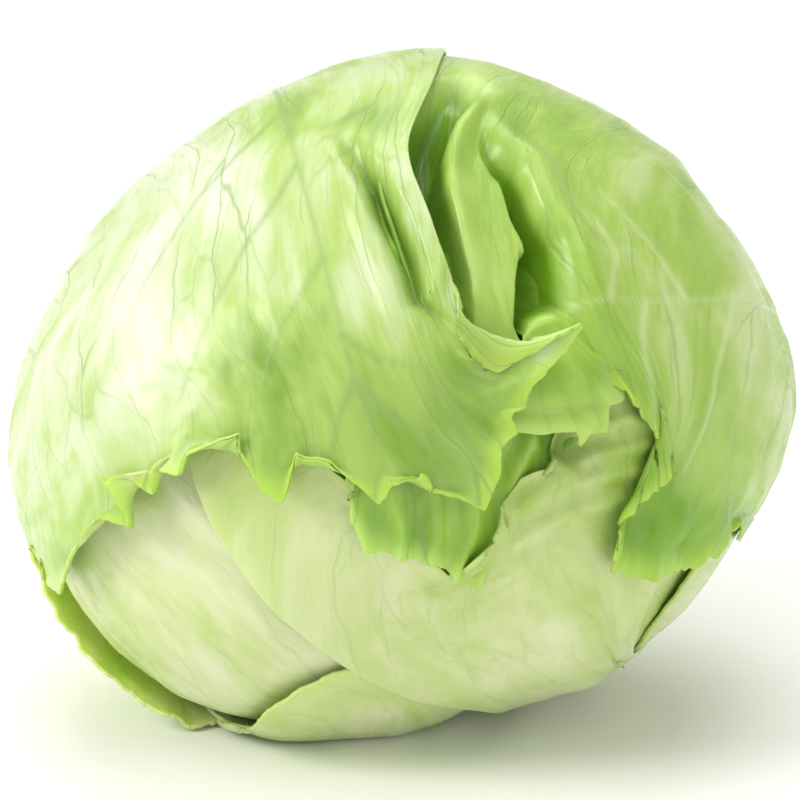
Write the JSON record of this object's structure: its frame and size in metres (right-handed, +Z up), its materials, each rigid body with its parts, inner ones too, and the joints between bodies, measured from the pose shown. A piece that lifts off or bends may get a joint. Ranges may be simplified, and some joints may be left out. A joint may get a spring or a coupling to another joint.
{
  "type": "head of lettuce",
  "caption": "Round head of crisphead lettuce lying on its side: overlapping wrapper leaves with frilled margins round a dense heart, and a short cut stem.",
  "frame": {"origin": "on the surface that the head rests on, under the middle of its bounding box", "axes": "+X to the right across the head seen from its crown, its longest side; -Y the way the crown faces, tipped up 20 degrees, with the cut stem at +Y; +Z up"},
  "size_m": [0.1788, 0.1543, 0.1506],
  "materials": {
    "wrapper_leaf": "satin",
    "pale_leaf": "satin",
    "green_leaf": "satin",
    "heart_leaf": "satin",
    "cut_stem": "matte"
  },
  "bodies": {
    "root": {"cap_leaf": "wrapper_leaf", "right_leaf": "wrapper_leaf", "outer_left_leaf": "wrapper_leaf", "underside_leaf": "pale_leaf", "front_leaf": "pale_leaf", "lower_left_leaf": "pale_leaf", "lower_right_leaf": "pale_leaf", "right_outer_leaf": "pale_leaf", "crown_green_leaf": "green_leaf", "crown_tip_leaf": "green_leaf", "heart_leaf_upper": "heart_leaf", "heart_leaf_lower": "heart_leaf", "heart": "heart_leaf", "stem": "cut_stem"}
  },
  "joints": []
}
